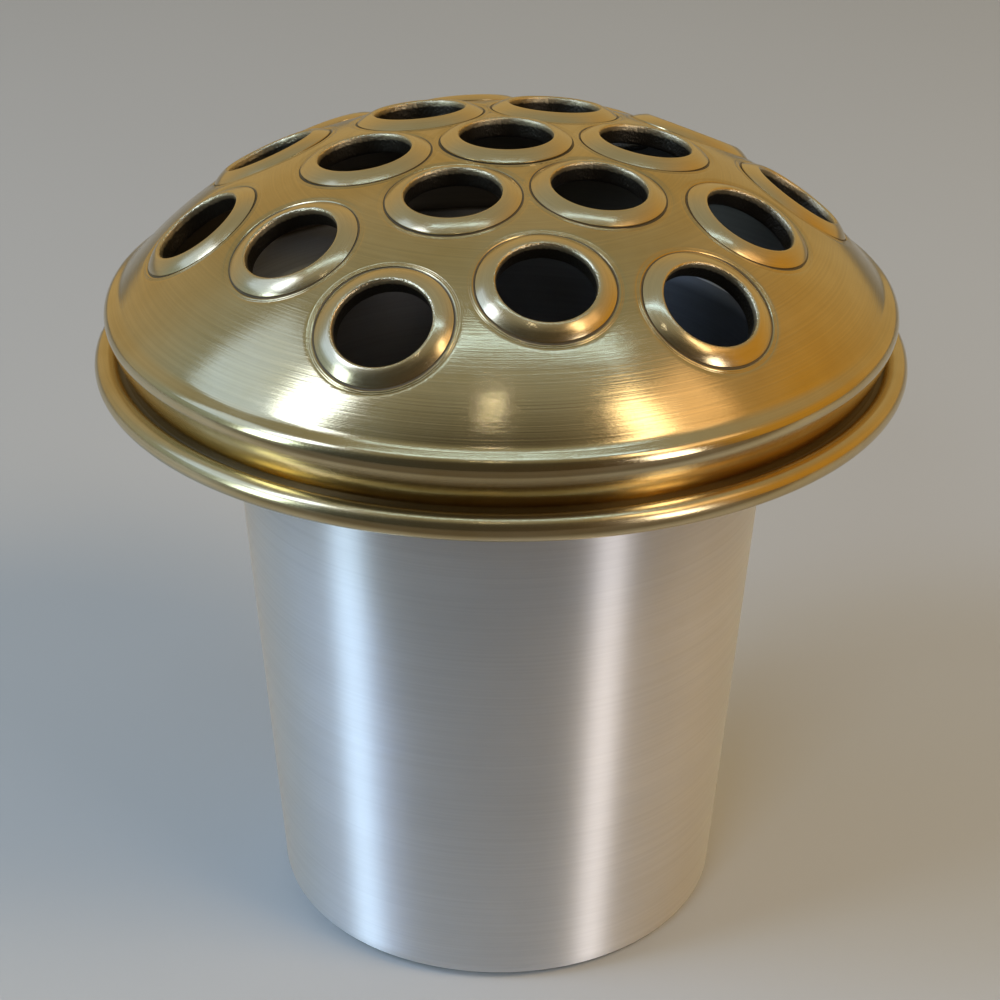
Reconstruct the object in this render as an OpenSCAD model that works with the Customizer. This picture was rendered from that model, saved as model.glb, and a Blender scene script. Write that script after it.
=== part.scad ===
// Flower holder for cut stems: a spun aluminium pot with a gold trim ring on its rim,
// and a loose, domed gold lid whose holes are each lined with a raised metal eyelet.
// Millimetres, +Z up, the origin at the centre of the pot's underside.

/* [Pot] */
// Outside diameter of the pot just under its rim
mouth_dia = 86.6; // [80:0.2:92]
// Outside diameter that the pot's side would reach at the bottom
base_dia = 72.6; // [60:0.2:78]
// Height of the underside of the rim above the bottom
pot_height = 96.6; // [60:0.2:140]
// Thickness of the spun sheet
pot_sheet = 1; // [0.8:0.1:1.4]
// Outside radius of the corner round the bottom
base_corner = 3.5; // [2:0.1:6]
// Outside radius of the bend where the side turns out into the rim
rim_bend = 2.4; // [1.6:0.1:4]

/* [Trim ring] */
// Overall diameter of the trim ring, the widest size of the whole holder
ring_dia = 127; // [126.8:0.2:127.4]
// Diameter of the rolled tube that the trim ring is made of
ring_tube = 3.9; // [3.6:0.1:4]
// Thickness of the rolled sheet in the tube
ring_sheet = 0.5; // [0.4:0.05:0.6]
// Height of the middle of the tube above the underside of the rim
ring_lift = 0.15; // [0:0.05:0.4]

/* [Lid] */
// Height of the top of the dome above the top face of the pot's rim
dome_rise = 33; // [33:0.2:33.6]
// Largest diameter of the lid, round its shoulder
lid_dia = 123.2; // [123:0.2:123.6]
// Thickness of the lid's sheet
lid_sheet = 1; // [0.8:0.1:1.2]
// Radius of the flatter crown of the dome
crown_radius = 128; // [126:1:128]
// Slope, in degrees, where the crown meets the rounder haunch
crown_slope = 11; // [10.8:0.1:11]
// Radius of the rounder haunch of the dome
haunch_radius = 60; // [59.8:0.1:60.2]
// Slope, in degrees, where the haunch ends and the cove above the shoulder begins
cove_slope = 50; // [49.6:0.1:50.2]
// Radius of the cove that runs round the lid above its shoulder
cove_radius = 3.5; // [3.2:0.1:3.6]
// Slope, in degrees, of the narrow ledge between the cove and the shoulder
ledge_slope = 31; // [30:0.5:32]
// Radius of the rolled shoulder
shoulder_radius = 2.2; // [2:0.1:2.3]
// Height of the upright foot that the lid stands on
foot_height = 0.5; // [0.3:0.1:0.6]
// Gap, seen from above, between the lid's foot and the inside of the trim ring
foot_gap = 0.4; // [0.3:0.05:0.5]

/* [Stem holes] */
// Bore of each eyelet, the space for a stem
eyelet_bore = 14.3; // [14:0.1:15]
// Outside diameter of each eyelet's raised collar
eyelet_dia = 20; // [19.6:0.1:20.4]
// Height of the collar's crest above the seat in the lid
eyelet_rise = 1.35; // [1.35:0.05:1.8]
// Slope of the collar's face, in degrees
collar_slope = 25; // [20:1:26]
// Radius at which the collar's crest turns down into the bore
crest_radius = 0.6; // [0.5:0.05:0.6]
// Thickness of the eyelet's barrel
eyelet_wall = 0.7; // [0.5:0.05:0.9]
// Distance from the middle of the inner group to its six outer holes
inner_ring = 21.6; // [21.4:0.1:22]
// Distance from the axis to the nearer holes of the outer ring
outer_ring_near = 39.3; // [38.8:0.1:40]
// Distance from the axis to the farther holes of the outer ring
outer_ring_far = 46.6; // [46:0.1:46.8]
// Turn of the whole hole pattern about the axis, in degrees
pattern_turn = 9.2; // [0:0.1:60]
// Offset of the inner group along X, where the holes were pressed a little off centre
inner_shift_x = 0.5; // [0:0.1:0.6]
// Offset of the inner group along Y
inner_shift_y = 0.6; // [0:0.1:0.6]

/* [Hidden] */
$fn = 96;
inner_count = 6;
outer_count = 12;
hole_count = 1 + inner_count + outer_count;

silver = "#c3c6cb";
gold = "#c2a04a";
bright_gold = "#d8b55c";

// Rim and trim ring
rim_top = pot_height + pot_sheet;
ring_tube_r = ring_tube / 2;
ring_r = ring_dia / 2 - ring_tube_r;
ring_z = pot_height + ring_lift;
rim_r = ring_r;

// Dome, built from arcs that meet without a corner
crown_centre = [0, rim_top + dome_rise - crown_radius];
haunch_centre = crown_centre + (crown_radius - haunch_radius) * outward(crown_slope);
crown_edge = crown_radius * sin(crown_slope);
cove_centre = haunch_centre + (haunch_radius + cove_radius) * outward(cove_slope);
shoulder_r = lid_dia / 2 - shoulder_radius;
ledge_length = (shoulder_r - cove_centre[0]
    + (cove_radius + shoulder_radius) * sin(ledge_slope)) / cos(ledge_slope);
shoulder_centre = [shoulder_r,
    cove_centre[1] - (cove_radius + shoulder_radius) * cos(ledge_slope)
    - ledge_length * sin(ledge_slope)];

// Foot of the lid, a short upright wall that stands on the rim inside the trim ring, and the
// slope at which the shoulder rolls under into the straight band that runs down to the foot
foot_r = ring_r - ring_tube_r - foot_gap;
foot_top = [foot_r, rim_top + foot_height];
foot_reach = foot_top - shoulder_centre;
foot_bearing = (atan2(foot_reach[0], foot_reach[1]) + 360) % 360;
roll_slope = foot_bearing - acos(shoulder_radius / norm(foot_reach));
foot_mitre = (outward(90) + outward(roll_slope)) / (1 + sin(roll_slope));

// Eyelet, in its own frame: z is 0 on its seat and +Z points out of the lid
eyelet_r = eyelet_dia / 2;
bore_r = eyelet_bore / 2;
barrel_r = bore_r + eyelet_wall;
crest_centre = [bore_r + crest_radius, eyelet_rise - crest_radius];
face_top = crest_centre + crest_radius * outward(collar_slope);
edge_height = face_top[1] - (eyelet_r - face_top[0]) * tan(collar_slope);
barrel_depth = 1.9;
lip_width = 1;
lip_r = barrel_r + lip_width;
lip_height = 0.8;
lid_hole_gap = 0.05;
seat_gap = 0.1;
cutter_height = 6;

// How far the form that hollows the pot runs out of its top
overrun = 1;

// Straight pieces that each arc of a section is drawn with
corner_steps = 6;
crown_steps = 4;
haunch_steps = 12;
cove_steps = 4;
roll_steps = 8;
crest_steps = 6;

// Unit vector square to the lid's section, as [radius, height], where it slopes by an angle
function outward(slope) = [sin(slope), cos(slope)];

// Points along an arc of the section, between two slopes
function arc_points(centre, radius, from, to, steps) = [
    for (i = [0:steps])
        centre + radius * outward(from + (to - from) * i / steps)
];

// The lid's section from its top to its foot, at a depth below the outer surface
function lid_curve(depth) = concat(
    arc_points(crown_centre, crown_radius - depth, 0, crown_slope, crown_steps),
    arc_points(haunch_centre, haunch_radius - depth, crown_slope, cove_slope, haunch_steps),
    arc_points(cove_centre, -cove_radius - depth, cove_slope, ledge_slope, cove_steps),
    arc_points(shoulder_centre, shoulder_radius - depth, ledge_slope, roll_slope, roll_steps),
    [foot_top - depth * foot_mitre, [foot_r - depth, rim_top]]
);

function reversed(list) = [for (i = [len(list) - 1:-1:0]) list[i]];

// Slope and height of the dome's outer surface at a distance from the axis
function dome_slope(r) = r < crown_edge
    ? asin(r / crown_radius)
    : asin((r - haunch_centre[0]) / haunch_radius);
function dome_height(r) = r < crown_edge
    ? crown_centre[1] + crown_radius * cos(dome_slope(r))
    : haunch_centre[1] + haunch_radius * cos(dome_slope(r));
function dome_point(r) = [r, dome_height(r)];

// How far the dome has fallen away under the outer edge of an eyelet centred at r
function seat_depth(r) =
    (dome_point(r) - dome_point(r + eyelet_r * cos(dome_slope(r)))) * outward(dome_slope(r));

// Hole centres as [x, y]: number 1 in the middle, then the inner ring, then the outer ring
function polar(r, angle) = [r * cos(angle), r * sin(angle)];
function hole_spot(hole) =
    let (inner_shift = [inner_shift_x, inner_shift_y])
    hole == 1 ? inner_shift
    : hole <= 1 + inner_count
        ? inner_shift + polar(inner_ring, pattern_turn + (hole - 2) * 360 / inner_count)
    : let (place = hole - 2 - inner_count)
        polar(place % 2 == 0 ? outer_ring_far : outer_ring_near,
            pattern_turn + place * 360 / outer_count);

function eyelet_name(hole) = str("eyelet_", hole < 10 ? "0" : "", hole);

// Places its children on the seat of one hole, with +Z square to the dome
module at_hole(hole) {
    spot = hole_spot(hole);
    r = norm(spot);
    slope = dome_slope(r);
    seat = dome_point(r) - seat_depth(r) * outward(slope);
    rotate([0, 0, atan2(spot[1], spot[0])])
        translate([seat[0], 0, seat[1]])
            rotate([0, slope, 0])
                children();
}

// Pot with a flat bottom, tapering side and flat rim, spun from one sheet
module container() {
    color(silver)
        difference() {
            union() {
                pot_form(0);
                translate([0, 0, pot_height])
                    cylinder(h = pot_sheet, r = rim_r);
            }
            pot_form(pot_sheet);
        }
}

// The pot's solid form at a depth inside its outer skin; the deeper form runs out of the top
module pot_form(depth) {
    taper = atan((mouth_dia - base_dia) / 2 / pot_height);
    corner = base_corner - depth;
    side_r = base_dia / 2 + base_corner * tan(taper);
    corner_r = side_r - base_corner / cos(taper);
    bend_z = pot_height - rim_bend;
    bend_r = base_dia / 2 + bend_z * tan(taper) + rim_bend / cos(taper);
    bend = rim_bend + depth;
    corner_arc = [
        for (i = [0:corner_steps])
            let (angle = -90 + (90 - taper) * i / corner_steps)
            [corner_r + corner * cos(angle), base_corner + corner * sin(angle)]
    ];
    bend_arc = [
        for (i = [0:corner_steps])
            let (angle = 180 - taper - (90 - taper) * i / corner_steps)
            [bend_r + bend * cos(angle), bend_z + bend * sin(angle)]
    ];
    top = depth > 0 ? [[bend_r, rim_top + overrun], [0, rim_top + overrun]] : [[0, pot_height]];
    rotate_extrude()
        polygon(concat([[0, depth]], corner_arc, bend_arc, top));
}

// Rolled tube crimped round the edge of the pot's rim, open where the rim enters it
module trim_ring() {
    color(gold)
        rotate_extrude()
            difference() {
                translate([ring_r, ring_z])
                    circle(r = ring_tube_r);
                translate([ring_r, ring_z])
                    circle(r = ring_tube_r - ring_sheet);
                translate([ring_r - ring_tube, pot_height])
                    square([ring_tube, pot_sheet]);
            }
}

// Domed lid with a rolled shoulder, an undercut band and a foot that stands on the rim
module dome_lid() {
    color(gold)
        difference() {
            rotate_extrude()
                polygon(concat(lid_curve(0), reversed(lid_curve(lid_sheet))));
            for (hole = [1:hole_count])
                at_hole(hole)
                    lid_hole();
        }
}

// Cutter for one hole in the lid, with a shallow flat seat for the eyelet's collar
module lid_hole() {
    translate([0, 0, -cutter_height / 2])
        cylinder(h = cutter_height, r = barrel_r + lid_hole_gap);
    cylinder(h = cutter_height, r = eyelet_r + seat_gap);
}

// Raised eyelet: a collar with a sloping face, a barrel through the lid, and a lip below
module eyelet(hole) {
    section = concat(
        [[barrel_r, 0], [eyelet_r, 0], [eyelet_r, edge_height]],
        arc_points(crest_centre, crest_radius, collar_slope, -90, crest_steps),
        [[bore_r, -barrel_depth], [lip_r, -barrel_depth],
            [lip_r, -barrel_depth + lip_height], [barrel_r, -barrel_depth + lip_height]]
    );
    color(bright_gold)
        at_hole(hole)
            rotate_extrude()
                polygon(section);
}

container();
trim_ring();
dome_lid();
for (hole = [1:hole_count])
    eyelet(hole);
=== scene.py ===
"""Looks of the flower holder: a spun aluminium pot with a gold trim ring, and a domed gold lid
whose nineteen stem holes are lined with raised eyelets. Metres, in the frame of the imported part."""
import math

import bpy
import numpy as np
from mathutils import Matrix, Vector
from mathutils.geometry import delaunay_2d_cdt


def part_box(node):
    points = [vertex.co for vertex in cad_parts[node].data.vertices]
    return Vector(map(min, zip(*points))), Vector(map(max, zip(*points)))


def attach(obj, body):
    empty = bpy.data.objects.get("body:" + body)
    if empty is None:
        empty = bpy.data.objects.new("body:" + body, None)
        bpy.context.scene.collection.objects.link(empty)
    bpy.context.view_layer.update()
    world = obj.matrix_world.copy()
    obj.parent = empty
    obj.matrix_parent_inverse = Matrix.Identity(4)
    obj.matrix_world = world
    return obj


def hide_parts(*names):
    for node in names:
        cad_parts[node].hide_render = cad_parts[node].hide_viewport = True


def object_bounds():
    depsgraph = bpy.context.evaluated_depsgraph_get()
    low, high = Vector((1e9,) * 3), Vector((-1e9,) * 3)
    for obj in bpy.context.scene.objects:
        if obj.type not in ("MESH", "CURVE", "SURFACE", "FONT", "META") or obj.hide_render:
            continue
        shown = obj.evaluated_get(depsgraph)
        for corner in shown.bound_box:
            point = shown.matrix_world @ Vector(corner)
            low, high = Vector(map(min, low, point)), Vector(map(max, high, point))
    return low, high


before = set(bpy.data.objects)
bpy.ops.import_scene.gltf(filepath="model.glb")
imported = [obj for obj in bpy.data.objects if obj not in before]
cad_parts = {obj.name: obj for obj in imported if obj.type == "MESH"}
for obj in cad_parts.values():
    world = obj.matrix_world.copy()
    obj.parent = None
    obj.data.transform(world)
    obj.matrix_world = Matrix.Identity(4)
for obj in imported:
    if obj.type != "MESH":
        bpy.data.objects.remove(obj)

cad_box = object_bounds()
MM = 0.001
AROUND = 480
POT_STEPS = 360
EYELET_STEPS = 120
ON_AXIS = 1e-7

# ---------------------------------------------------------------- sizes, as in the part
POT_SHEET = 1.0 * MM
BASE_CORNER = 3.5 * MM
RIM_BEND = 2.4 * MM
MOUTH_R = 43.3 * MM
BASE_R = 36.3 * MM
RING_SHEET = 0.5 * MM

DOME_RISE = 33.0 * MM
LID_SHEET = 1.0 * MM
CROWN_RADIUS = 128.0 * MM
CROWN_SLOPE = 11.0
HAUNCH_RADIUS = 60.0 * MM
COVE_SLOPE = 50.0
COVE_RADIUS = 3.5 * MM
LEDGE_SLOPE = 31.0
SHOULDER_RADIUS = 2.2 * MM
LID_R = 61.6 * MM
FOOT_R = 59.2 * MM
FOOT_HEIGHT = 0.5 * MM

BARREL_DEPTH = 1.9 * MM
BARREL_WALL = 0.7 * MM
LIP_WIDTH = 1.0 * MM
LIP_HEIGHT = 0.8 * MM
CREST_RADIUS = 0.5 * MM
FACE_SLOPE = 18.0
EDGE_SLOPE = 38.0

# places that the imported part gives
rim_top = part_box("container")[1].z
rim_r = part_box("container")[1].x
pot_height = rim_top - POT_SHEET
ring_low, ring_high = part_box("trim_ring")
ring_tube_r = (ring_high.z - ring_low.z) / 2
ring_z = (ring_high.z + ring_low.z) / 2
ring_r = ring_high.x - ring_tube_r
dome_top = rim_top + DOME_RISE
eyelet_nodes = sorted(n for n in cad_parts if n.startswith("eyelet"))


# ---------------------------------------------------------------- turned shapes
def outward(slope):
    """Unit vector square to a section where it slopes by an angle, as (radius, height)."""
    return np.array([math.sin(math.radians(slope)), math.cos(math.radians(slope))])


def new_object(name, vertices, faces, body, material, slot, sharp=40.0):
    """A piece that rides on a body, with its edges sharp where they turn by more than an angle."""
    mesh = bpy.data.meshes.new(name)
    mesh.from_pydata([tuple(map(float, v)) for v in vertices], [], [list(map(int, f)) for f in faces])
    mesh.polygons.foreach_set("use_smooth", [True] * len(mesh.polygons))
    mesh.set_sharp_from_angle(angle=math.radians(sharp))
    mesh.validate()
    mesh.materials.append(material)
    piece = bpy.data.objects.new(name, mesh)
    bpy.context.scene.collection.objects.link(piece)
    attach(piece, body)
    return piece


def turned(section, steps, closed=False):
    """Vertices and faces of a section turned about Z. A point on the axis is one vertex."""
    vertices, rows = [], []
    for radius, height in section:
        if radius < ON_AXIS:
            rows.append([len(vertices)] * steps)
            vertices.append((0.0, 0.0, height))
            continue
        rows.append(list(range(len(vertices), len(vertices) + steps)))
        for i in range(steps):
            angle = 2 * math.pi * i / steps
            vertices.append((radius * math.cos(angle), radius * math.sin(angle), height))
    pairs = list(zip(rows, rows[1:])) + ([(rows[-1], rows[0])] if closed else [])
    faces = [face for one, other in pairs for face in strip(one, other)]
    return vertices, faces


def strip(one, other):
    """Faces between two rings of vertices, the first of which comes first along the section."""
    faces = []
    for i in range(len(one)):
        j = (i + 1) % len(one)
        corners = list(dict.fromkeys([one[i], other[i], other[j], one[j]]))
        if len(corners) > 2:
            faces.append(corners)
    return faces


# ---------------------------------------------------------------- pot
def pot_skin(depth, bottom_pieces=6, corner_pieces=14, side_pieces=40):
    """Points of the pot's skin at a depth inside its outer face, from the axis to the rim."""
    taper = math.atan2(MOUTH_R - BASE_R, pot_height)
    corner, bend = BASE_CORNER - depth, RIM_BEND + depth
    side_r = BASE_R + BASE_CORNER * math.tan(taper)
    corner_r = side_r - BASE_CORNER / math.cos(taper)
    bend_z = pot_height - RIM_BEND
    bend_r = BASE_R + bend_z * math.tan(taper) + RIM_BEND / math.cos(taper)
    points = [(corner_r * i / bottom_pieces, depth) for i in range(bottom_pieces)]
    for i in range(corner_pieces + 1):
        a = -math.pi / 2 + (math.pi / 2 - taper) * i / corner_pieces
        points.append((corner_r + corner * math.cos(a), BASE_CORNER + corner * math.sin(a)))
    arc = []
    for i in range(corner_pieces + 1):
        a = math.pi - taper - (math.pi / 2 - taper) * i / corner_pieces
        arc.append((bend_r + bend * math.cos(a), bend_z + bend * math.sin(a)))
    (r0, z0), (r1, z1) = points[-1], arc[0]
    for i in range(1, side_pieces):
        points.append((r0 + (r1 - r0) * i / side_pieces, z0 + (z1 - z0) * i / side_pieces))
    return points + arc


RIM_FACE = 0.2 * MM


def build_pot(material, inside, rim):
    """One sheet with three finishes: its outside, its inside, darkened as painted shade, and the rim's
    upper face.
    """
    section = pot_skin(POT_SHEET) + [(rim_r, rim_top), (rim_r, pot_height)] + pot_skin(0)[::-1]
    pot = new_object("pot_skin", *turned(section, POT_STEPS), "pot", material, "spun_aluminium")
    pot.data.materials.append(inside)
    pot.data.materials.append(rim)
    # The rim's upper face and the inside get their own finishes; the inside's darker colour is painted
    # shade.
    for face in pot.data.polygons:
        across = Vector((face.center.x, face.center.y, 0.0))
        if face.center.z > rim_top - RIM_FACE:
            face.material_index = 2
        elif face.normal.dot(across) < 0 and face.center.z < pot_height:
            face.material_index = 1
    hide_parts("container")


def ring_outline(radius, start, end, pieces):
    """An arc of the ring's section, between angles from straight outwards."""
    points = []
    for i in range(pieces + 1):
        a = math.radians(start + (end - start) * i / pieces)
        points.append((ring_r + radius * math.cos(a), ring_z + radius * math.sin(a)))
    return points


def build_ring(material):
    """The rolled tube, open towards the axis where the pot's rim enters it."""
    low = math.degrees(math.asin((ring_z - pot_height) / ring_tube_r))
    high = math.degrees(math.asin((rim_top - ring_z) / ring_tube_r))
    inside = ring_tube_r - RING_SHEET
    low_in = math.degrees(math.asin((ring_z - pot_height) / inside))
    high_in = math.degrees(math.asin((rim_top - ring_z) / inside))
    outer = ring_outline(ring_tube_r, low - 180, 180 - high, pieces=56)
    inner = ring_outline(inside, 180 - high_in, low_in - 180, pieces=36)
    ring = new_object("trim_bead", *turned((outer + inner)[::-1], AROUND, closed=True), "pot",
                      material, "gold_sheet")
    dent_bead(ring)
    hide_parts("trim_ring")


# A small nick in the bead, at its left side
NICK_TURN = -93.0
NICK_WIDTH = 0.9 * MM
NICK_DEPTH = 0.35 * MM
NICK_OUT = 0.6
NICK_UP = 0.8
NICK_REACH = 2.5


def dent_bead(ring):
    """Presses the nick in, at a spot set by shares of the tube's radius."""
    angle = math.radians(NICK_TURN - 90)
    spot_r = ring_r + ring_tube_r * NICK_OUT
    spot = Vector((spot_r * math.cos(angle), spot_r * math.sin(angle), ring_z + ring_tube_r * NICK_UP))
    middle = Vector((ring_r * math.cos(angle), ring_r * math.sin(angle), ring_z))
    inwards = (middle - spot).normalized()
    for vertex in ring.data.vertices:
        reach = (vertex.co - spot).length / NICK_WIDTH
        if reach < NICK_REACH:
            vertex.co += inwards * NICK_DEPTH * math.exp(-reach * reach)


# ---------------------------------------------------------------- lid
crown_centre = np.array([0.0, dome_top - CROWN_RADIUS])
haunch_centre = crown_centre + (CROWN_RADIUS - HAUNCH_RADIUS) * outward(CROWN_SLOPE)
cove_centre = haunch_centre + (HAUNCH_RADIUS + COVE_RADIUS) * outward(COVE_SLOPE)
shoulder_r = LID_R - SHOULDER_RADIUS
ledge_length = (shoulder_r - cove_centre[0] + (COVE_RADIUS + SHOULDER_RADIUS)
                * math.sin(math.radians(LEDGE_SLOPE))) / math.cos(math.radians(LEDGE_SLOPE))
shoulder_centre = np.array([shoulder_r, cove_centre[1] - (COVE_RADIUS + SHOULDER_RADIUS)
                            * math.cos(math.radians(LEDGE_SLOPE))
                            - ledge_length * math.sin(math.radians(LEDGE_SLOPE))])
foot_top = np.array([FOOT_R, rim_top + FOOT_HEIGHT])
crown_length = CROWN_RADIUS * math.radians(CROWN_SLOPE)

# The pierced part of the dome ends here; the rest of the lid is turned
PIERCED_R = 57.5 * MM
pierced_slope = math.degrees(math.asin((PIERCED_R - haunch_centre[0]) / HAUNCH_RADIUS))
pierced_length = crown_length + HAUNCH_RADIUS * math.radians(pierced_slope - CROWN_SLOPE)

# Groove and tool marks pressed into the lid round each collar, by distance from its axis
SEAM_MIDDLE = 10.22 * MM
SEAM_WIDTH = 0.17 * MM
SEAM_DEPTH = 0.20 * MM
MARK_MIDDLES = (10.72 * MM, 10.98 * MM)
MARK_WIDTH = 0.08 * MM
MARK_DEPTH = 0.07 * MM
# Lid faces nearer a hole's axis than this take a dark finish, which is painted shade in the seam round
# each collar.
SEAM_SHADE_REACH = 10.31 * MM
HOLE_EDGE = 7.95 * MM
HOLE_RINGS = (HOLE_EDGE, 8.9 * MM, 9.6 * MM, 9.92 * MM, 10.04 * MM, 10.13 * MM, 10.22 * MM,
              10.31 * MM, 10.4 * MM, 10.55 * MM, 10.66 * MM, 10.72 * MM, 10.78 * MM, 10.92 * MM,
              10.98 * MM, 11.04 * MM, 11.3 * MM, 11.7 * MM)
HOLE_STEPS = 108
GRID = 0.95 * MM
GRID_GAP = 0.4 * GRID
SEAT_MARGIN = 0.05 * MM
SEAT_GAP = 0.02 * MM
FITTING_ROUNDS = 6
ROUNDING = 0.999


def dome_slope_at(length):
    """Slope, in degrees, of the dome at a length along it from the top."""
    return np.where(length < crown_length, np.degrees(length / CROWN_RADIUS),
                    CROWN_SLOPE + np.degrees((length - crown_length) / HAUNCH_RADIUS))


def dome_places(flat, depth=0.0):
    """Points and outward directions of the dome for points laid out flat by length from the top."""
    length = np.hypot(flat[:, 0], flat[:, 1])
    turn = np.arctan2(flat[:, 1], flat[:, 0])
    slope = np.radians(dome_slope_at(length))
    crown = length < crown_length
    centre_r = np.where(crown, crown_centre[0], haunch_centre[0])
    centre_z = np.where(crown, crown_centre[1], haunch_centre[1])
    radius = np.where(crown, CROWN_RADIUS, HAUNCH_RADIUS) - depth
    r = centre_r + radius * np.sin(slope)
    z = centre_z + radius * np.cos(slope)
    square = np.stack([np.sin(slope) * np.cos(turn), np.sin(slope) * np.sin(turn), np.cos(slope)], 1)
    return np.stack([r * np.cos(turn), r * np.sin(turn), z], 1), square


def flat_places(points):
    """Where points on the dome lie once it is laid out flat by length from the top."""
    r = np.hypot(points[:, 0], points[:, 1])
    slope = np.where(r < CROWN_RADIUS * math.sin(math.radians(CROWN_SLOPE)),
                     np.arcsin(np.clip(r / CROWN_RADIUS, -1, 1)),
                     np.arcsin(np.clip((r - haunch_centre[0]) / HAUNCH_RADIUS, -1, 1)))
    crown = np.degrees(slope) < CROWN_SLOPE
    length = np.where(crown, slope * CROWN_RADIUS,
                      crown_length + (slope - math.radians(CROWN_SLOPE)) * HAUNCH_RADIUS)
    turn = np.arctan2(points[:, 1], points[:, 0])
    return np.stack([length * np.cos(turn), length * np.sin(turn)], 1)


class Hole:
    """Place of one stem hole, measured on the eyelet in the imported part."""

    def __init__(self, node):
        raw = np.array([v.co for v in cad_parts[node].data.vertices], float)
        points = np.unique(np.round(raw, 7), axis=0)
        middle = points.mean(0)
        values, directions = np.linalg.eigh(np.cov((points - middle).T))
        axis = directions[:, 0] * np.sign(directions[2, 0])
        heights = (points - middle) @ axis
        self.node = node
        self.axis = axis
        self.seat = middle + axis * (heights.min() + BARREL_DEPTH)
        self.crest = heights.max() - heights.min() - BARREL_DEPTH
        across = (points - middle) - heights[:, None] * axis
        reach = np.linalg.norm(across, axis=1)
        self.bore_r, self.collar_r = reach.min(), reach.max()
        side = np.cross([0.0, 1.0, 0.0], axis)
        self.side = side / np.linalg.norm(side)
        self.other = np.cross(axis, self.side)

    def distance(self, points):
        """How far points are from the hole's axis."""
        offset = points - self.seat
        return np.linalg.norm(offset - (offset @ self.axis)[:, None] * self.axis, axis=1)

    def circle(self, radius, steps):
        """Points on the dome at a distance from the hole's axis, laid out flat."""
        turn = 2 * np.pi * np.arange(steps) / steps
        around = (self.seat + radius * (np.cos(turn)[:, None] * self.side
                                        + np.sin(turn)[:, None] * self.other))
        rise = np.zeros(steps)
        for _ in range(FITTING_ROUNDS):
            flat = flat_places(around + rise[:, None] * self.axis)
            on_dome, square = dome_places(flat)
            gap = ((on_dome - around - rise[:, None] * self.axis) * square).sum(1)
            rise += gap / (square @ self.axis)
        return flat_places(around + rise[:, None] * self.axis)


holes = [Hole(node) for node in eyelet_nodes]


def nearest_hole(points):
    """Which hole's axis each point is nearest to, and how far it is from it."""
    distances = np.stack([hole.distance(points) for hole in holes], 1)
    return distances.argmin(1), distances.min(1)


def dome_layout():
    """Flat points of the pierced dome, with the edges round its holes."""
    rings, edges = [], []
    count = 0
    for index, hole in enumerate(holes):
        for radius in HOLE_RINGS:
            flat = hole.circle(radius, HOLE_STEPS)
            owner, _ = nearest_hole(dome_places(flat)[0])
            keep = owner == index
            if radius == HOLE_EDGE:
                edges += [(count + i, count + (i + 1) % HOLE_STEPS) for i in range(HOLE_STEPS)]
            rings.append(flat[keep])
            count += int(keep.sum())
    rows = int(pierced_length / GRID)
    grid = [np.zeros((1, 2))]
    for k in range(1, rows):
        length = pierced_length * k / rows
        steps = max(6, round(2 * math.pi * length / GRID))
        turn = 2 * np.pi * (np.arange(steps) + 0.5 * (k % 2)) / steps
        grid.append(np.stack([length * np.cos(turn), length * np.sin(turn)], 1))
    grid = np.concatenate(grid)
    _, distance = nearest_hole(dome_places(grid)[0])
    grid = grid[distance > HOLE_RINGS[-1] + GRID_GAP]
    turn = 2 * np.pi * np.arange(AROUND) / AROUND
    border = pierced_length * np.stack([np.cos(turn), np.sin(turn)], 1)
    return np.concatenate(rings + [grid, border]), edges


def pressed(distance):
    """How far the lid's face is pressed in at a distance from a hole's axis."""
    bell = lambda middle, width: np.exp(-((distance - middle) / width) ** 2)
    depth = SEAM_DEPTH * bell(SEAM_MIDDLE, SEAM_WIDTH)
    depth += sum(MARK_DEPTH * bell(middle, MARK_WIDTH) for middle in MARK_MIDDLES)
    return np.where(distance < SEAM_MIDDLE, SEAM_DEPTH, depth)


def outer_dome(flat):
    """The dome's outer face, with the seat of each collar and the marks pressed in round it."""
    points, square = dome_places(flat)
    owner, distance = nearest_hole(points)
    points = points - pressed(distance)[:, None] * square
    for index, hole in enumerate(holes):
        under = (owner == index) & (distance < hole.collar_r + SEAT_MARGIN)
        height = (points[under] - hole.seat) @ hole.axis
        points[under] -= np.maximum(height + SEAT_GAP, 0)[:, None] * hole.axis
    return points


BAND_PIECES = 12


def lid_edge(depth):
    """The lid's section beyond the pierced part, at a depth below its outer face."""
    def arc(centre, radius, start, end, pieces):
        return [tuple(centre + radius * outward(start + (end - start) * i / pieces))
                for i in range(1, pieces + 1)]
    reach = foot_top - shoulder_centre
    bearing = math.degrees(math.atan2(reach[0], reach[1])) % 360
    roll = bearing - math.degrees(math.acos(SHOULDER_RADIUS / np.linalg.norm(reach)))
    mitre = (outward(90) + outward(roll)) / (1 + math.sin(math.radians(roll)))
    points = arc(haunch_centre, HAUNCH_RADIUS - depth, pierced_slope, COVE_SLOPE, pieces=4)
    points += arc(cove_centre, -COVE_RADIUS - depth, COVE_SLOPE, LEDGE_SLOPE, pieces=10)
    points += arc(shoulder_centre, SHOULDER_RADIUS - depth, LEDGE_SLOPE, LEDGE_SLOPE, pieces=1)
    points += arc(shoulder_centre, SHOULDER_RADIUS - depth, LEDGE_SLOPE, roll, pieces=30)
    start, end = np.array(points[-1]), foot_top - depth * mitre
    points += [tuple(start + (end - start) * i / BAND_PIECES) for i in range(1, BAND_PIECES + 1)]
    return points + [(FOOT_R - depth, rim_top)]


# A point below the lid that the whole of its hidden face looks towards
INNER_POINT = (0.0, 0.0, rim_top - FOOT_R * 0.4)


def shade_hidden_face(lid):
    """Gives the lid's hidden face its own dark finish, which is painted shade."""
    middle = Vector(INNER_POINT)
    for face in lid.data.polygons:
        if face.normal.dot(face.center - middle) < 0:
            face.material_index = 1


# Points of the flat layout nearer than this, in mm, are one point
SAME_POINT = 1e-7


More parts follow.
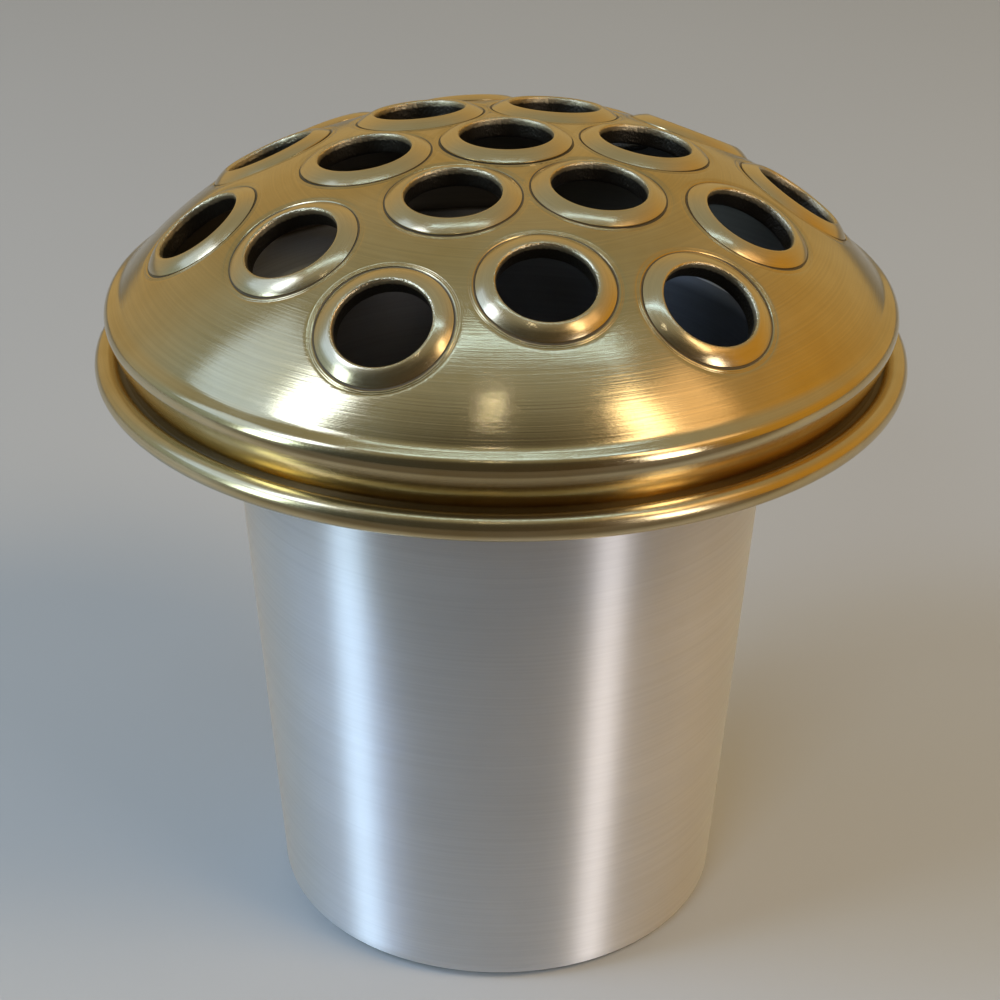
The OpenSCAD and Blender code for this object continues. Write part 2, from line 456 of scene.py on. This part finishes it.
def dome_mesh():
    """Flat points of the pierced dome, its triangles, their distances from a hole, its border and
    the edges round its holes."""
    flat, loops = dome_layout()
    xy, _, triangles, origins, _, _ = delaunay_2d_cdt(
        [Vector(p) for p in flat / MM], loops, [], 0, SAME_POINT)
    xy = np.array([tuple(p) for p in xy]) * MM
    place = {source: index for index, sources in enumerate(origins) for source in sources}
    triangles = np.array([tuple(t) for t in triangles])
    _, distance = nearest_hole(dome_places(xy[triangles].mean(1))[0])
    kept = distance > HOLE_EDGE * ROUNDING
    first = len(flat) - AROUND
    border = [place[first + i] for i in range(AROUND)]
    edges = [(place[one], place[two]) for one, two in loops]
    return xy, triangles[kept], distance[kept], border, edges


def turned_up(xy, triangles):
    """The triangles with their corners in the order that makes them face outwards."""
    a, b, c = xy[triangles[:, 0]], xy[triangles[:, 1]], xy[triangles[:, 2]]
    side = (b - a)[:, 0] * (c - a)[:, 1] - (b - a)[:, 1] * (c - a)[:, 0]
    return np.where((side > 0)[:, None], triangles, triangles[:, ::-1])


def build_lid(material, hidden_face_shade, painted_seam):
    """Both faces of the pierced dome, the walls of its holes, and the turned edge round it."""
    xy, triangles, distance, border, edges = dome_mesh()
    inner, _ = dome_places(xy, LID_SHEET)
    count = len(xy)
    vertices = [tuple(p) for p in outer_dome(xy)] + [tuple(p) for p in inner]
    up = turned_up(xy, triangles)
    faces = up.tolist() + (up[:, ::-1] + count).tolist()
    faces += [[one, two, two + count, one + count] for one, two in edges]
    rows = [border]
    for radius, height in lid_edge(0) + lid_edge(LID_SHEET)[::-1]:
        rows.append(list(range(len(vertices), len(vertices) + AROUND)))
        for i in range(AROUND):
            turn = 2 * math.pi * i / AROUND
            vertices.append((radius * math.cos(turn), radius * math.sin(turn), height))
    rows.append([i + count for i in border])
    for one, other in zip(rows, rows[1:]):
        faces += strip(one, other)
    lid = new_object("lid_skin", vertices, faces, "lid", material, "gold_sheet")
    lid.data.materials.append(hidden_face_shade)
    lid.data.materials.append(painted_seam)
    shade_hidden_face(lid)
    # Painted shade: the faces in and under the seam round each collar take the dark seam finish.
    for index in np.flatnonzero(distance < SEAM_SHADE_REACH):
        lid.data.polygons[index].material_index = 2
    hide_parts("dome_lid")


# ---------------------------------------------------------------- eyelets
FACE_PIECES = 12
CREST_PIECES = 16
BORE_PIECES = 8
BORE_ROUND = 0.3 * MM
BORE_ROUND_MIDDLE = 0.09 * MM
# Rounded outside of the lip, by distance outwards and up from its lower outer corner
LIP_LOW = ((-0.25 * MM, 0.0), (-0.07 * MM, 0.08 * MM), (0.0, 0.28 * MM))
LIP_HIGH = ((0.0, LIP_HEIGHT - 0.2 * MM), (-0.12 * MM, LIP_HEIGHT))


def eyelet_section(hole):
    """Outline of an eyelet in its own frame: a bulging collar, a barrel and a rolled lip."""
    barrel_r = hole.bore_r + BARREL_WALL
    lip_r = barrel_r + LIP_WIDTH
    crest = np.array([hole.bore_r + CREST_RADIUS, hole.crest - CREST_RADIUS])
    face_top = crest + CREST_RADIUS * outward(FACE_SLOPE)
    bulge = (hole.collar_r - face_top[0]) / (outward(EDGE_SLOPE)[0] - outward(FACE_SLOPE)[0])
    face = face_top - bulge * outward(FACE_SLOPE)
    points = [(barrel_r, 0.0), (hole.collar_r, 0.0)]
    points += [tuple(face + bulge * outward(EDGE_SLOPE + (FACE_SLOPE - EDGE_SLOPE) * i / FACE_PIECES))
               for i in range(FACE_PIECES)]
    points += [tuple(crest + CREST_RADIUS * outward(FACE_SLOPE - (FACE_SLOPE + 90) * i / CREST_PIECES))
               for i in range(CREST_PIECES + 1)]
    bore_length = crest[1] + BARREL_DEPTH - BORE_ROUND
    points += [(hole.bore_r, crest[1] - bore_length * i / BORE_PIECES)
               for i in range(1, BORE_PIECES + 1)]
    points += [(hole.bore_r + BORE_ROUND_MIDDLE, -BARREL_DEPTH + BORE_ROUND_MIDDLE),
               (hole.bore_r + BORE_ROUND, -BARREL_DEPTH)]
    points += [(lip_r + out, -BARREL_DEPTH + up) for out, up in LIP_LOW + LIP_HIGH]
    return points + [(barrel_r, -BARREL_DEPTH + LIP_HEIGHT)]


def build_eyelets(material):
    """One eyelet in each stem hole, turned about the hole's own axis."""
    for hole in holes:
        vertices, faces = turned(eyelet_section(hole)[::-1], EYELET_STEPS, closed=True)
        place = Matrix([(*row, 0.0) for row in np.stack([hole.side, hole.other, hole.axis], 1)]
                       + [(0.0, 0.0, 0.0, 1.0)])
        place.translation = Vector(hole.seat)
        piece = new_object(hole.node + "_turned", vertices, faces, "lid", material, "bright_gold")
        piece.matrix_world = place
        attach(piece, "lid")
        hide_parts(hole.node)


# ---------------------------------------------------------------- materials
class Nodes:
    """A node tree written as nested calls: each returns the output of a new node."""

    def __init__(self, tree):
        self.tree = tree

    def make(self, kind, inputs=(), output=0, **settings):
        node = self.tree.nodes.new(kind)
        for name, value in settings.items():
            setattr(node, name, value)
        for name, value in dict(inputs).items():
            if isinstance(value, bpy.types.NodeSocket):
                self.tree.links.new(value, node.inputs[name])
            else:
                node.inputs[name].default_value = value
        return node.outputs[output]

    def math(self, operation, *values):
        return self.make("ShaderNodeMath", dict(enumerate(values)), operation=operation)

    def join(self, x, y, z):
        return self.make("ShaderNodeCombineXYZ", {0: x, 1: y, 2: z})

    def noise(self, vector, scale, detail=2.0, roughness=0.5):
        return self.make("ShaderNodeTexNoise", {"Vector": vector, "Scale": scale, "Detail": detail,
                                                "Roughness": roughness})

    def remap(self, value, low, high, to_low, to_high):
        return self.make("ShaderNodeMapRange", {"Value": value, "From Min": low, "From Max": high,
                                                "To Min": to_low, "To Max": to_high})

    def mix(self, factor, one, two):
        node = self.tree.nodes.new("ShaderNodeMix")
        node.data_type = "RGBA"
        for index, value in ((0, factor), (6, one), (7, two)):
            if isinstance(value, bpy.types.NodeSocket):
                self.tree.links.new(value, node.inputs[index])
            else:
                node.inputs[index].default_value = value
        return node.outputs[2]


def place_of(nodes):
    """Object position in millimetres, with its radius, height and direction round the axis."""
    position = nodes.make("ShaderNodeTexCoord", output=3)
    scaled = nodes.make("ShaderNodeVectorMath", {0: position, 1: (1000.0, 1000.0, 1000.0)},
                        operation="MULTIPLY")
    split = nodes.tree.nodes.new("ShaderNodeSeparateXYZ")
    nodes.tree.links.new(scaled, split.inputs[0])
    x, y, z = split.outputs
    radius = nodes.math("SQRT", nodes.math("ADD", nodes.math("MULTIPLY", x, x),
                                           nodes.math("MULTIPLY", y, y)))
    safe = nodes.math("MAXIMUM", radius, 0.01)
    return scaled, radius, z, nodes.math("DIVIDE", x, safe), nodes.math("DIVIDE", y, safe)


def spin_lines(nodes, radius, height, x, y, around, across, detail=3.0):
    """Noise drawn out round the axis, as a spinning tool leaves it."""
    run = nodes.math("MULTIPLY", nodes.math("SUBTRACT", radius, height), across)
    return nodes.noise(nodes.join(nodes.math("MULTIPLY", x, around),
                                  nodes.math("MULTIPLY", y, around), run), 1.0, detail, 0.6)


# Spin lines as (change round the axis, repeats per mm along the section, detail)
FINE_LINES = (0.9, 2.6, 4.0)
BROAD_LINES = (1.0, 1.6, 3.0)
# Noise as (repeats per mm, detail, roughness)
CLOUD = (0.045, 4.0, 0.55)
GRAIN = (2.5, 2.0, 0.6)
LINE_SHADE = 0.45
GRAIN_SHARE = 0.25
BRUSH_TURN = 0.25

SILVER = (0.84, 0.84, 0.85)
SILVER_STAIN = (0.79, 0.79, 0.80)
# Painted shade: the pot's inside is darker than its outside.
INSIDE_SHADE_SILVER = (0.32, 0.33, 0.35)
RIM_SILVER = (0.80, 0.82, 0.85)
GOLD = (0.70, 0.585, 0.355)
GOLD_STAIN = (0.59, 0.45, 0.21)
BRIGHT = (0.76, 0.65, 0.43)
BRIGHT_STAIN = (0.68, 0.53, 0.29)
# Painted shade: dark colour of the lid's hidden face.
UNDERSIDE_SHADE = (0.16, 0.145, 0.12)
# Painted shade deep in each bore.
BORE_SHADE = (0.07, 0.06, 0.045)
# Dark colour of painted shade, in the seam round each collar and in the crevice under the lid's edge.
CREVICE_SHADE = (0.13, 0.10, 0.06)


def metal(name, colour, tint, roughness, brushing, line_depth, speckle, unevenness=0.1,
          share=1.0, streak=0.2):
    """Spun metal: fine lines round the axis, uneven polish and faint stains."""
    material = bpy.data.materials.new(name)
    material.use_nodes = True
    nodes = Nodes(material.node_tree)
    shader = material.node_tree.nodes["Principled BSDF"]
    place, radius, height, x, y = place_of(nodes)
    fine = spin_lines(nodes, radius, height, x, y, *FINE_LINES)
    broad = spin_lines(nodes, radius, height, x, y, *BROAD_LINES)
    cloud = nodes.noise(place, *CLOUD)
    grain = nodes.noise(place, *GRAIN)
    stained = nodes.mix(nodes.remap(cloud, 0.35, 0.7, 0.0, 1.0), (*colour, 1.0), (*tint, 1.0))
    line_colour = (*[c * LINE_SHADE for c in colour], 1.0)
    streaked = nodes.mix(nodes.remap(fine, 0.35, 0.65, 0.0, streak), stained, line_colour)
    smooth, dull = roughness * (1 - unevenness), roughness * (1 + unevenness)
    polish = nodes.math("ADD", nodes.remap(broad, 0.3, 0.7, smooth, dull),
                        nodes.remap(grain, 0.45, 0.8, 0.0, speckle))
    bumps = nodes.math("ADD", nodes.math("MULTIPLY", fine, line_depth),
                       nodes.math("MULTIPLY", grain, line_depth * GRAIN_SHARE))
    bump = nodes.make("ShaderNodeBump", {"Height": bumps, "Distance": MM, "Strength": 1.0})
    link = material.node_tree.links.new
    link(streaked, shader.inputs["Base Color"])
    link(polish, shader.inputs["Roughness"])
    link(bump, shader.inputs["Normal"])
    link(nodes.make("ShaderNodeTangent", direction_type="RADIAL", axis="Z"), shader.inputs["Tangent"])
    shader.inputs["Metallic"].default_value = share
    shader.inputs["Anisotropic"].default_value = brushing
    shader.inputs["Anisotropic Rotation"].default_value = BRUSH_TURN
    return material, nodes, shader, polish, radius, height, grain


# Bands of a bore's finish, in mm beyond its radius: none at the first, full at the second
BORE_ROUGH = (0.12, 0.02)
BORE_TORN = (0.55, 0.15)
BORE_OUTSIDE = (1.9, 1.6)
# Height in mm below which a bore is darkened as painted shade, and the height over which that comes on
BORE_SHADE_TOP = 0.45
BORE_CHANGE = 0.35
ROUGHER = 0.22
TORN_DEPTH = 0.16
RAGGEDNESS = 0.5


def eyelet_metal(bore_r):
    """Bright collar, with a bore that the punch left rough and mottled, and painted shade deep in the
    bore.
    """
    material, nodes, shader, polish, radius, height, grain = metal(
        "bright_eyelet", BRIGHT, BRIGHT_STAIN, roughness=0.20, brushing=0.2, line_depth=0.006,
        speckle=0.06, unevenness=0.15)
    link = material.node_tree.links.new
    within = lambda band: nodes.remap(radius, bore_r / MM + band[0], bore_r / MM + band[1], 0.0, 1.0)
    rough = nodes.math("MULTIPLY", within(BORE_ROUGH), ROUGHER)
    link(nodes.math("ADD", polish, rough), shader.inputs["Roughness"])
    torn = nodes.math("MULTIPLY", within(BORE_TORN), nodes.math("MULTIPLY", grain, TORN_DEPTH))
    bump = shader.inputs["Normal"].links[0].from_node
    bumps = bump.inputs["Height"].links[0].from_socket
    link(nodes.math("ADD", bumps, torn), bump.inputs["Height"])
    # Painted shade deep in the bore, with a ragged top edge.
    ragged = nodes.math("ADD", height, nodes.math("MULTIPLY", grain, RAGGEDNESS))
    low = nodes.remap(ragged, BORE_SHADE_TOP + BORE_CHANGE, BORE_SHADE_TOP, 0.0, 1.0)
    raw = nodes.math("MULTIPLY", low, within(BORE_OUTSIDE))
    colour = shader.inputs["Base Color"].links[0].from_socket
    link(nodes.mix(raw, colour, (*BORE_SHADE, 1.0)), shader.inputs["Base Color"])
    return material


# Radius in mm beyond which the rim is darkened as painted shade under the lid's edge, and the width
# over which that comes on.
CREVICE_R = 56.5
CREVICE_CHANGE = 1.5


def rim_metal():
    """Satin rim, darkened by painted shade in the crevice between the lid and the bead."""
    material, nodes, shader, _, radius, _, _ = metal(
        "satin_rim", RIM_SILVER, RIM_SILVER, roughness=0.42, brushing=0.5, line_depth=0.004,
        speckle=0.05, unevenness=0.12, share=0.85)
    colour = shader.inputs["Base Color"].links[0].from_socket
    dark = nodes.remap(radius, CREVICE_R, CREVICE_R + CREVICE_CHANGE, 0.0, 1.0)
    material.node_tree.links.new(nodes.mix(dark, colour, (*CREVICE_SHADE, 1.0)), shader.inputs["Base Color"])
    return material


FLOOR_GREY = (0.40, 0.40, 0.40, 1.0)
FLOOR_PALE = (0.44, 0.44, 0.44, 1.0)
# Painted shade: the floor's colour in front as the metal mirrors it.
FRONT_FLOOR_SHADE = (0.07, 0.05, 0.03, 1.0)
FRONT_SHADE = 0.85


def floor_material():
    """Pale floor, with painted shade in front where the metal mirrors it, standing in for whoever
    looks on over it.
    """
    material = bpy.data.materials.new("pale_floor")
    material.use_nodes = True
    nodes = Nodes(material.node_tree)
    shader = material.node_tree.nodes["Principled BSDF"]
    position = nodes.make("ShaderNodeTexCoord", output=3)
    split = nodes.tree.nodes.new("ShaderNodeSeparateXYZ")
    nodes.tree.links.new(position, split.inputs[0])
    path = nodes.tree.nodes.new("ShaderNodeLightPath")
    # Painted shade seen only in reflections: the floor in front is darker where the metal mirrors it.
    in_front = nodes.remap(split.outputs[1], -0.14, -0.05, FRONT_SHADE, 0.0)
    shade = nodes.math("MULTIPLY", path.outputs["Is Glossy Ray"], in_front)
    cloud = nodes.noise(position, 3.0, 3.0)
    colour = nodes.mix(shade, nodes.mix(cloud, FLOOR_GREY, FLOOR_PALE), FRONT_FLOOR_SHADE)
    material.node_tree.links.new(colour, shader.inputs["Base Color"])
    shader.inputs["Roughness"].default_value = 0.75
    shader.inputs["Specular IOR Level"].default_value = 0.25
    return material


# ---------------------------------------------------------------- stage, lights and camera
def toward(azimuth, elevation):
    """Direction of a light: azimuth 0 is in front and 90 to the right."""
    a, e = math.radians(azimuth), math.radians(elevation)
    return Vector((math.sin(a) * math.cos(e), -math.cos(a) * math.cos(e), math.sin(e)))


def area_light(name, azimuth, elevation, distance, width, height, power, colour, mirrored=True):
    """A lamp or window by its direction in degrees, its sizes in metres and its power in watts.
    One that isn't mirrored lights only what is dull."""
    lamp = bpy.data.lights.new(name, "AREA")
    lamp.shape, lamp.size, lamp.size_y = "RECTANGLE", width, height
    lamp.energy, lamp.color = power, colour
    holder = bpy.data.objects.new(name, lamp)
    direction = toward(azimuth, elevation)
    holder.visible_glossy = mirrored
    holder.location = direction * distance + Vector((0, 0, pot_height))
    holder.rotation_euler = direction.to_track_quat("Z", "Y").to_euler()
    bpy.context.scene.collection.objects.link(holder)


COOL = (0.60, 0.81, 1.0)
SKY = (0.50, 0.64, 1.0)
DEEP_SKY = (0.38, 0.56, 1.0)
TUBE = (0.40, 0.64, 1.0)
BULB = (1.0, 0.80, 0.55)
PALE_BULB = (1.0, 0.94, 0.93)
SMALL_BULB = (1.0, 0.97, 0.90)
GLOW = (1.0, 0.62, 0.32)
WARM = (1.0, 0.72, 0.37)


def build_lights():
    """Windows on the left, lamps on the right, a tube overhead, and soft fills."""
    area_light("window_left", -70, 47, 1.3, 0.26, 0.46, 2.3, SKY)
    area_light("window_low", -65, 15, 1.3, 0.30, 0.60, 3.9, COOL)
    area_light("window_side", -85, 38, 1.5, 0.95, 0.80, 2.5, DEEP_SKY)
    area_light("lamp_right", 52, 48, 1.3, 0.17, 0.44, 0.85, BULB)
    area_light("lamp_low", 46, 14, 1.3, 0.27, 0.60, 3.0, PALE_BULB)
    area_light("lamp_glow", 66, 46, 1.3, 0.50, 0.40, 0.5, GLOW)
    area_light("small_lamp", -4, 63, 1.3, 0.03, 0.03, 0.08, SMALL_BULB)
    area_light("line_lamp", 0, 85, 1.5, 1.30, 0.05, 1.4, TUBE)
    area_light("fill_cool", -72, 40, 1.3, 0.6, 0.5, 5.0, COOL, mirrored=False)
    area_light("fill_warm", 62, 44, 1.3, 0.5, 0.4, 7.0, WARM, mirrored=False)
    area_light("fill_front", -18, 33, 1.3, 0.4, 0.3, 4.5, COOL, mirrored=False)


LEFT_WALL = (0.29, 0.36, 0.36, 1.0)
RIGHT_WALL = (0.56, 0.30, 0.045, 1.0)
BACK_WALL = (0.50, 0.37, 0.17, 1.0)
FRONT_DARK = (0.03, 0.027, 0.022, 1.0)
CEILING = (0.33, 0.33, 0.26, 1.0)
BACKDROP = (0.15, 0.14, 0.125, 1.0)


def build_world():
    """The room that the metal mirrors, behind a plain backdrop for whoever looks on."""
    world = bpy.data.worlds.new("room")
    bpy.context.scene.world = world
    world.use_nodes = True
    nodes = Nodes(world.node_tree)
    direction = nodes.make("ShaderNodeTexCoord", output=0)
    split = nodes.tree.nodes.new("ShaderNodeSeparateXYZ")
    nodes.tree.links.new(direction, split.inputs[0])
    x, y, z = split.outputs
    to_right = nodes.remap(x, -0.5, 0.6, 0.0, 1.0)
    to_back = nodes.remap(y, 0.2, 0.9, 0.0, 1.0)
    to_top = nodes.remap(z, 0.45, 0.95, 0.0, 1.0)
    to_front = nodes.remap(y, -0.62, -0.28, 0.9, 0.0)
    walls = nodes.mix(to_back, nodes.mix(to_right, LEFT_WALL, RIGHT_WALL), BACK_WALL)
    room = nodes.mix(to_front, nodes.mix(to_top, walls, CEILING), FRONT_DARK)
    path = nodes.tree.nodes.new("ShaderNodeLightPath")
    seen = nodes.mix(path.outputs["Is Camera Ray"], room, BACKDROP)
    back = world.node_tree.nodes["Background"]
    nodes.tree.links.new(seen, back.inputs["Color"])
    back.inputs["Strength"].default_value = 1.0


FLOOR_SIZE = 6.0
FLOOR_GAP = 0.02 * MM


def build_floor():
    """A wide square just under the object, which isn't part of it."""
    half = FLOOR_SIZE / 2
    mesh = bpy.data.meshes.new("floor")
    mesh.from_pydata([(-half, -half, 0), (half, -half, 0), (half, half, 0), (-half, half, 0)], [],
                     [(0, 1, 2, 3)])
    mesh.materials.append(floor_material())
    floor = bpy.data.objects.new("floor", mesh)
    floor.location.z = cad_box[0][2] - FLOOR_GAP
    bpy.context.scene.collection.objects.link(floor)


CAMERA_DISTANCE = 0.418
CAMERA_ELEVATION = 27.41
CAMERA_ROLL = 0.47
CAMERA_AIM = 0.0691
CAMERA_LENS = 92.5
CAMERA_SENSOR = 36.0
CAMERA_NEAR = 0.01
CAMERA_FAR = 20.0


def build_camera():
    """The photograph's viewing angle: distances in metres, angles in degrees, lens in mm."""
    data = bpy.data.cameras.new("camera")
    data.lens, data.sensor_width = CAMERA_LENS, CAMERA_SENSOR
    data.clip_start, data.clip_end = CAMERA_NEAR, CAMERA_FAR
    camera = bpy.data.objects.new("camera", data)
    direction = toward(0, CAMERA_ELEVATION)
    camera.location = direction * CAMERA_DISTANCE + Vector((0, 0, CAMERA_AIM))
    turn = direction.to_track_quat("Z", "Y").to_matrix() @ Matrix.Rotation(
        math.radians(CAMERA_ROLL), 3, "Z")
    camera.rotation_euler = turn.to_euler()
    bpy.context.scene.collection.objects.link(camera)
    bpy.context.scene.camera = camera


gold_sheet, *_ = metal("gold_sheet", GOLD, GOLD_STAIN, roughness=0.145, brushing=0.35,
                      line_depth=0.018, speckle=0.06, unevenness=0.25)
pot_outside, *_ = metal("spun_aluminium", SILVER, SILVER_STAIN, roughness=0.45, brushing=1.0,
                       line_depth=0.0015, speckle=0.02, unevenness=0.08, share=0.84, streak=0.1)
# Painted shade inside the pot.
pot_inside_shade, *_ = metal("shaded_inside", INSIDE_SHADE_SILVER, INSIDE_SHADE_SILVER, roughness=0.5, brushing=0.6,
                      line_depth=0.002, speckle=0.05)
pot_rim = rim_metal()
gold_bead, *_ = metal("gold_bead", GOLD, GOLD_STAIN, roughness=0.22, brushing=0.3,
                     line_depth=0.004, speckle=0.04)
# Painted shade on the lid's hidden face.
hidden_face_shade, *_ = metal("shaded_underside", UNDERSIDE_SHADE, UNDERSIDE_SHADE, roughness=0.45, brushing=0.3,
                     line_depth=0.002, speckle=0.08)
# Painted shade for the seam round each collar.
seam_shade, *_ = metal("seam_shade", CREVICE_SHADE, CREVICE_SHADE, roughness=0.5, brushing=0.3,
                      line_depth=0.004, speckle=0.1, share=0.5)
build_pot(pot_outside, pot_inside_shade, pot_rim)
build_ring(gold_bead)
build_lid(gold_sheet, hidden_face_shade, seam_shade)
build_eyelets(eyelet_metal(holes[0].bore_r))
build_floor()
build_lights()
build_world()
build_camera()
bpy.context.scene.view_settings.view_transform = "Standard"
